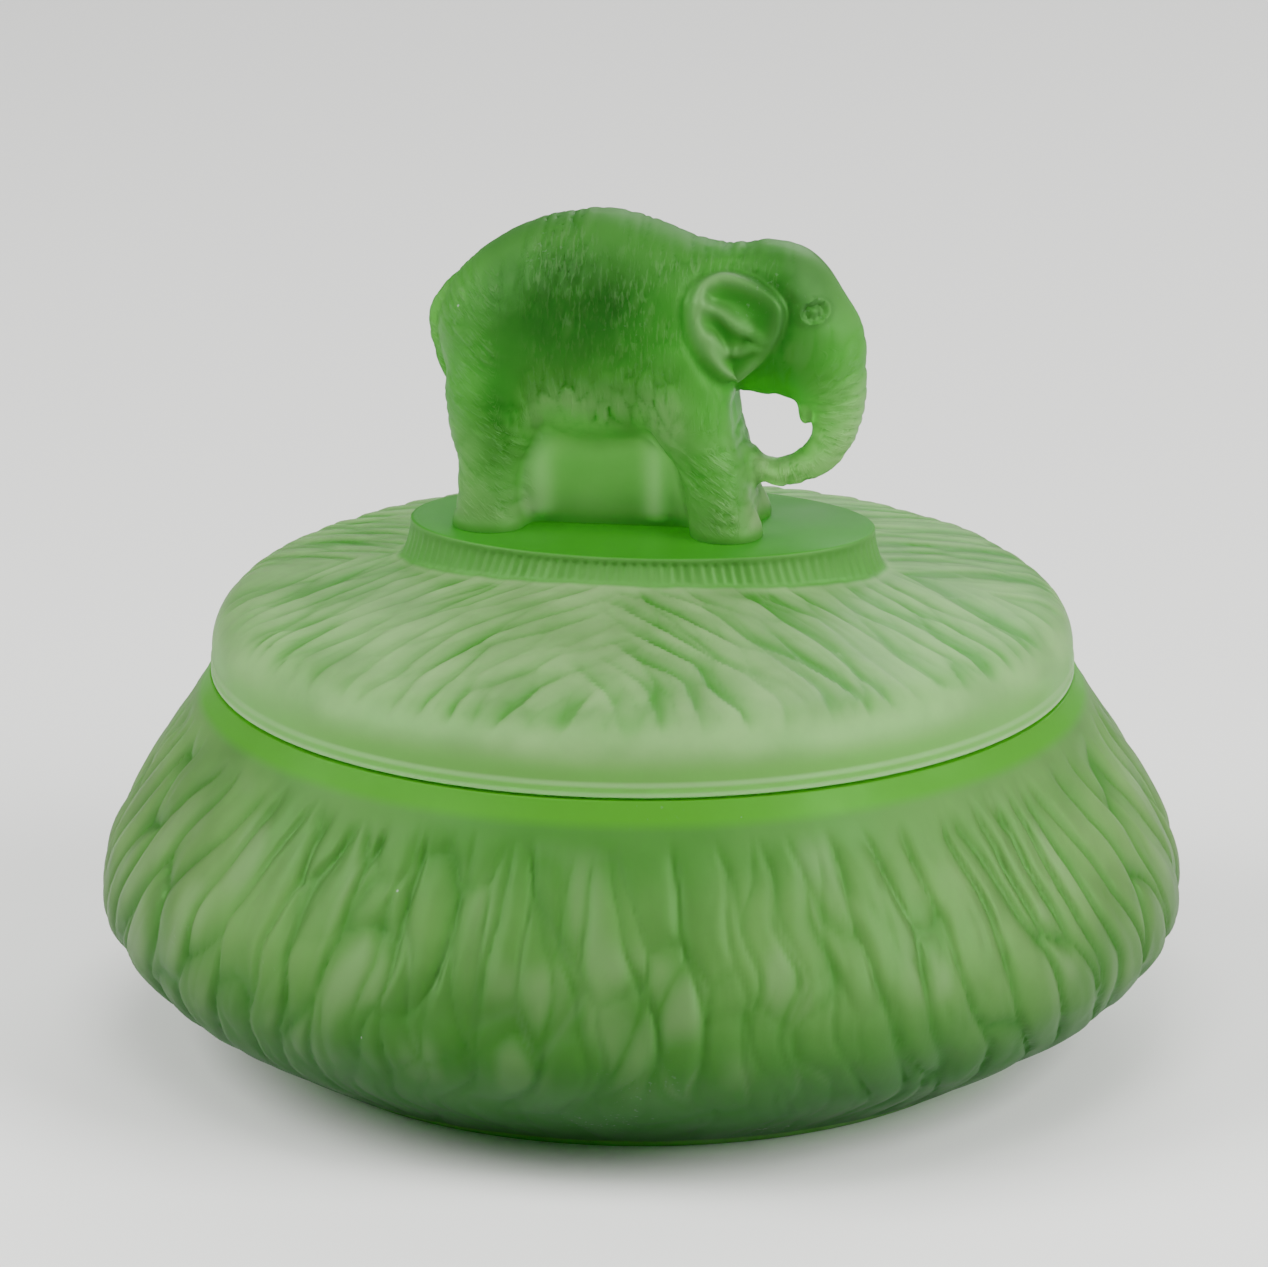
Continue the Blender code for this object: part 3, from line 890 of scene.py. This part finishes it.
def paint_plinth_top(mesh):
    """One even tone on the plinth's flat top, as the union leaves the points unpainted where the
    figure meets it."""
    count = len(mesh.vertices)
    places = np.empty(count * 3, np.float32)
    mesh.vertices.foreach_get("co", places)
    on_top = np.abs(places[2::3] - PLINTH_TOP) < 0.05 * MM
    for name in ("valley", "clear", "core", "pale", "skin"):
        layer = mesh.attributes[name]
        values = np.empty(count, np.float32)
        layer.data.foreach_get("value", values)
        values[on_top] = PLINTH_TOP_CLEAR if name == "clear" else 0
        layer.data.foreach_set("value", values)


def joined(name, first, second):
    """One closed mesh from two that overlap, with the plinth's top shaded flat. The exact solver
    loses this pair, both of them closed."""
    piece = add_object(name, first)
    other = add_object(name + "_joined", second)
    union = piece.modifiers.new("union", "BOOLEAN")
    union.operation = "UNION"
    union.solver = "MANIFOLD"
    union.object = other
    bpy.context.view_layer.update()
    mesh = evaluated_mesh(piece)
    bpy.data.objects.remove(other, do_unlink=True)
    mesh.shade_smooth()
    mesh.set_sharp_from_angle(angle=CREASE_ANGLE)
    paint_plinth_top(mesh)
    for face in mesh.polygons:
        heights = [mesh.vertices[corner].co.z for corner in face.vertices]
        face.use_smooth = not all(abs(height - PLINTH_TOP) < 0.001 * MM for height in heights)
    return mesh


# ---------------------------------------------------------------- glass

FROST_AND_HIGHLIGHT = (0.72, 0.92, 0.52)
SPECK = (0.92, 0.96, 0.88)
SCUFF = (0.85, 0.92, 0.78)
SURFACE_TINT = (0.35, 1.0, 0.25)
BODY_GREEN = (0.12, 0.80, 0.01)
BODY_DENSITY = 260
GLASS_IOR = 1.5
LIGHT_THROUGH = 0.8


def node(tree, kind, **settings):
    made = tree.nodes.new(kind)
    for key, value in settings.items():
        setattr(made, key, value)
    return made


def mixed(tree, factor, first, second):
    """A colour between two; each is a colour or another node's output."""
    mix = node(tree, "ShaderNodeMix", data_type="RGBA")
    tree.links.new(factor, mix.inputs["Factor"])
    for socket, colour in (("A", first), ("B", second)):
        if isinstance(colour, tuple):
            mix.inputs[socket].default_value = (*colour, 1)
        else:
            tree.links.new(colour, mix.inputs[socket])
    return mix.outputs["Result"]


def remapped(tree, value, low, high, to_low=0.0, to_high=1.0):
    span = node(tree, "ShaderNodeMapRange", clamp=True, interpolation_type="SMOOTHSTEP")
    span.inputs["From Min"].default_value = low
    span.inputs["From Max"].default_value = high
    span.inputs["To Min"].default_value = to_low
    span.inputs["To Max"].default_value = to_high
    tree.links.new(value, span.inputs["Value"])
    return span.outputs["Result"]


def product(tree, first, second):
    times = node(tree, "ShaderNodeMath", operation="MULTIPLY")
    tree.links.new(first, times.inputs[0])
    tree.links.new(second, times.inputs[1])
    return times.outputs["Value"]


def painted(tree, name):
    """The mesh's painted layer of that name."""
    return node(tree, "ShaderNodeAttribute", attribute_name=name).outputs["Fac"]


def noise(tree, place, scale, detail):
    made = node(tree, "ShaderNodeTexNoise")
    made.inputs["Scale"].default_value = scale
    made.inputs["Detail"].default_value = detail
    tree.links.new(place, made.inputs["Vector"])
    return made.outputs["Fac"]


def bumped(tree, height, strength, distance, surface=None):
    """The surface's normal, with the height raised on it."""
    made = node(tree, "ShaderNodeBump")
    made.inputs["Strength"].default_value = strength
    made.inputs["Distance"].default_value = distance
    tree.links.new(height, made.inputs["Height"])
    if surface is not None:
        tree.links.new(surface, made.inputs["Normal"])
    return made.outputs["Normal"]


def fine_wrinkles(tree):
    """Share of each point in the finest wrinkles, which lie the way that the painted layers say."""
    lie = node(tree, "ShaderNodeCombineXYZ")
    for name, axis, per_mm in (("across", "X", 2.4), ("along", "Y", 0.6)):
        scaled = node(tree, "ShaderNodeMath", operation="MULTIPLY")
        scaled.inputs[1].default_value = per_mm
        tree.links.new(painted(tree, name), scaled.inputs[0])
        tree.links.new(scaled.outputs["Value"], lie.inputs[axis])
    lines = remapped(tree, noise(tree, lie.outputs["Vector"], 1, 2), 0.48, 0.66)
    return product(tree, lines, painted(tree, "skin"))


def specks(tree, place):
    """Share of each point in rare round specks."""
    dots = node(tree, "ShaderNodeTexVoronoi", feature="F1")
    dots.inputs["Scale"].default_value = 190
    tree.links.new(place, dots.inputs["Vector"])
    rare = node(tree, "ShaderNodeMath", operation="GREATER_THAN")
    rare.inputs[1].default_value = 0.8
    tree.links.new(dots.outputs["Color"], rare.inputs[0])
    return product(tree, remapped(tree, dots.outputs["Distance"], 0.045, 0.02), rare.outputs["Value"])


def scuffs(tree, place):
    """Share of each point in faint, fine scuffs, which lie in patches."""
    fine = remapped(tree, noise(tree, place, 1500, 2), 0.62, 0.74)
    patches = remapped(tree, noise(tree, place, 55, 2), 0.62, 0.74, 0.0, 0.2)
    return product(tree, fine, patches)


def satin_glass(name, milky, deep, darkest, zones, gloss, wrinkled=False):
    """Acid-etched satin green glass over an absorbing body. Its milky frosting stays on the crests, and
    the valleys are painted darker, partly deeper glass and partly painted shade. A zone is the height
    where its colour starts, the height where it is full, and the colour."""
    material = bpy.data.materials.new(name)
    material.use_nodes = True
    tree = material.node_tree
    link = tree.links.new
    shader = tree.nodes["Principled BSDF"]
    output = tree.nodes["Material Output"]
    shader.inputs["IOR"].default_value = GLASS_IOR
    shader.inputs["Transmission Weight"].default_value = LIGHT_THROUGH
    shader.inputs["Specular IOR Level"].default_value = gloss
    shader.inputs["Specular Tint"].default_value = (*SURFACE_TINT, 1)

    place = node(tree, "ShaderNodeTexCoord").outputs["Object"]
    axes = node(tree, "ShaderNodeSeparateXYZ")
    link(place, axes.inputs["Vector"])

    # Colour: frosting over deeper glass, with cloudy mottling, painted shade and painted light
    cloud = noise(tree, place, 90, 6)
    darker = tuple(channel * 0.76 for channel in milky)
    paler = tuple(min(channel * 1.16, 0.95) for channel in milky)
    in_valley = tuple(channel * 0.7 for channel in deep)
    colour = mixed(tree, remapped(tree, cloud, 0.3, 0.7), darker, paler)
    colour = mixed(tree, painted(tree, "clear"), colour, deep)
    # Painted shade in the valleys, folds and the ear's hollow, over the deeper glass there
    colour = mixed(tree, remapped(tree, painted(tree, "valley"), 0.05, 0.85, 0.0, 0.9), colour, in_valley)
    # The core layer painted darker: thicker glass and painted shade
    thick_and_shaded = product(tree, painted(tree, "core"), remapped(tree, cloud, 0.2, 0.6, 0.7, 1.0))
    colour = mixed(tree, thick_and_shaded, colour, darkest)
    # Zones by height, which hold painted shade, a painted glow and painted light as well as the glass's
    # own tones
    for first, full, zone_colour in zones:
        colour = mixed(tree, remapped(tree, axes.outputs["Z"], first, full), colour, zone_colour)
    # The pale layer: frosting, with painted highlights on crests and edges, and painted light on the
    # shaded swellings by the elephant's legs
    colour = mixed(tree, painted(tree, "pale"), colour, FROST_AND_HIGHLIGHT)
    if wrinkled:
        wrinkles = fine_wrinkles(tree)
        colour = mixed(tree, remapped(tree, wrinkles, 0, 1, 0.0, 0.1), colour, FROST_AND_HIGHLIGHT)
    colour = mixed(tree, scuffs(tree, place), colour, SCUFF)
    colour = mixed(tree, specks(tree, place), colour, SPECK)
    link(colour, shader.inputs["Base Color"])

    # Surface: satin, a little uneven, with an acid-etched grain
    link(remapped(tree, cloud, 0.2, 0.8, 0.46, 0.66), shader.inputs["Roughness"])
    surface = bumped(tree, noise(tree, place, 1100, 3), 0.2, 0.06 * MM)
    surface = bumped(tree, noise(tree, place, 330, 3), 0.25, 0.12 * MM, surface)
    if wrinkled:
        surface = bumped(tree, wrinkles, 0.5, 0.12 * MM, surface)
    link(surface, shader.inputs["Normal"])

    body = node(tree, "ShaderNodeVolumeAbsorption")
    body.inputs["Color"].default_value = (*BODY_GREEN, 1)
    body.inputs["Density"].default_value = BODY_DENSITY
    link(body.outputs["Volume"], output.inputs["Volume"])
    return material


# ---------------------------------------------------------------- pieces

# The bowl is painted darker towards its foot, painted shade; under the lid it is clear glass with a
# painted glow, and a bright line at the foot is painted light over the contact shadow
BOWL_ZONES = [
    (33.0 * MM, 7.0 * MM, (0.004, 0.19, 0.001)),
    (45.2 * MM, 46.9 * MM, (0.14, 0.66, 0.02)),
    (2.4 * MM, 1.5 * MM, (0.16, 0.85, 0.02)),
]
# The lid's plain rim is less milky than its dome, and its lower edge is painted pale, a painted
# highlight along the edge
LID_ZONES = [
    (RIM_BOTTOM + 6.5 * MM, RIM_BOTTOM + 2.4 * MM, (0.36, 0.72, 0.18)),
    (RIM_BOTTOM + 0.9 * MM, RIM_BOTTOM + 0.4 * MM, FROST_AND_HIGHLIGHT),
]

bowl = add_object("bowl_glass", bowl_mesh())
bowl.data.materials.append(satin_glass(
    "bowl_satin", milky=(0.40, 0.63, 0.22), deep=(0.07, 0.33, 0.03), darkest=(0.02, 0.2, 0.004),
    zones=BOWL_ZONES, gloss=0.25))
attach(bowl, "bowl")
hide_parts("jar_bowl")

lid = add_object("lid_glass", joined("lid_union", lid_mesh(), figure_mesh()))
lid.data.materials.clear()
lid.data.materials.append(satin_glass(
    "lid_satin", milky=(0.58, 0.90, 0.37), deep=(0.05, 0.50, 0.01), darkest=(0.002, 0.075, 0.001),
    zones=LID_ZONES, gloss=0.42, wrinkled=True))
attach(lid, "lid")
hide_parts("lid")


# ---------------------------------------------------------------- stage, light and camera

FLOOR_HALF_WIDTH = 1.5
FLOOR_GAP = 0.02 * MM
FLOOR_COLOUR = (0.72, 0.72, 0.70)
STUDIO_COLOUR = (0.85, 0.86, 0.87)
STUDIO_STRENGTH = 0.35
LAMP_AIM = Vector((0, 0, 50.0 * MM))


def add_floor():
    mesh = bpy.data.meshes.new("floor")
    reach = FLOOR_HALF_WIDTH
    mesh.from_pydata([(-reach, -reach, 0), (reach, -reach, 0), (reach, reach, 0), (-reach, reach, 0)],
                     [], [(0, 1, 2, 3)])
    floor = add_object("floor", mesh)
    floor.location.z = -FLOOR_GAP
    material = bpy.data.materials.new("pale_floor")
    material.use_nodes = True
    shader = material.node_tree.nodes["Principled BSDF"]
    shader.inputs["Base Color"].default_value = (*FLOOR_COLOUR, 1)
    shader.inputs["Roughness"].default_value = 0.7
    floor.data.materials.append(material)


def soft_light(name, place, size, power):
    """A square lamp that faces the jar."""
    data = bpy.data.lights.new(name, "AREA")
    data.size = size
    data.energy = power
    lamp = bpy.data.objects.new(name, data)
    lamp.location = place
    lamp.rotation_euler = (LAMP_AIM - Vector(place)).to_track_quat("-Z", "Y").to_euler()
    bpy.context.scene.collection.objects.link(lamp)


def add_world():
    world = bpy.data.worlds.new("studio")
    world.use_nodes = True
    background = world.node_tree.nodes["Background"]
    background.inputs["Color"].default_value = (*STUDIO_COLOUR, 1)
    background.inputs["Strength"].default_value = STUDIO_STRENGTH
    bpy.context.scene.world = world


CAMERA_DISTANCE = 1.5
CAMERA_ELEVATION = math.radians(17.3)
CAMERA_AZIMUTH = math.radians(7.0)
CAMERA_AIM = Vector((0, 0, 56.0 * MM))
VIEW_WIDTH = 163.2 * MM
AIM_RIGHT = -1.1 * MM
AIM_UP = -2.45 * MM


def add_camera():
    back = Vector((
        math.sin(CAMERA_AZIMUTH) * math.cos(CAMERA_ELEVATION),
        -math.cos(CAMERA_AZIMUTH) * math.cos(CAMERA_ELEVATION),
        math.sin(CAMERA_ELEVATION),
    ))
    right = Vector((math.cos(CAMERA_AZIMUTH), math.sin(CAMERA_AZIMUTH), 0))
    up = back.cross(right)
    data = bpy.data.cameras.new("camera")
    data.sensor_width = 36
    data.lens = data.sensor_width * CAMERA_DISTANCE / VIEW_WIDTH
    data.clip_start = 0.01
    data.clip_end = 20
    camera = bpy.data.objects.new("camera", data)
    aim = CAMERA_AIM + right * AIM_RIGHT + up * AIM_UP
    camera.location = aim + back * CAMERA_DISTANCE
    camera.rotation_euler = (-back).to_track_quat("-Z", "Y").to_euler()
    bpy.context.scene.collection.objects.link(camera)
    bpy.context.scene.camera = camera


add_floor()
add_world()
soft_light("key", (-0.62, -0.25, 0.55), 0.5, 10)
soft_light("fill", (0.66, -0.25, 0.45), 0.5, 12)
soft_light("top", (0.0, -0.35, 0.9), 0.5, 5)
soft_light("back", (0.15, 0.6, 0.6), 0.6, 4)
add_camera()
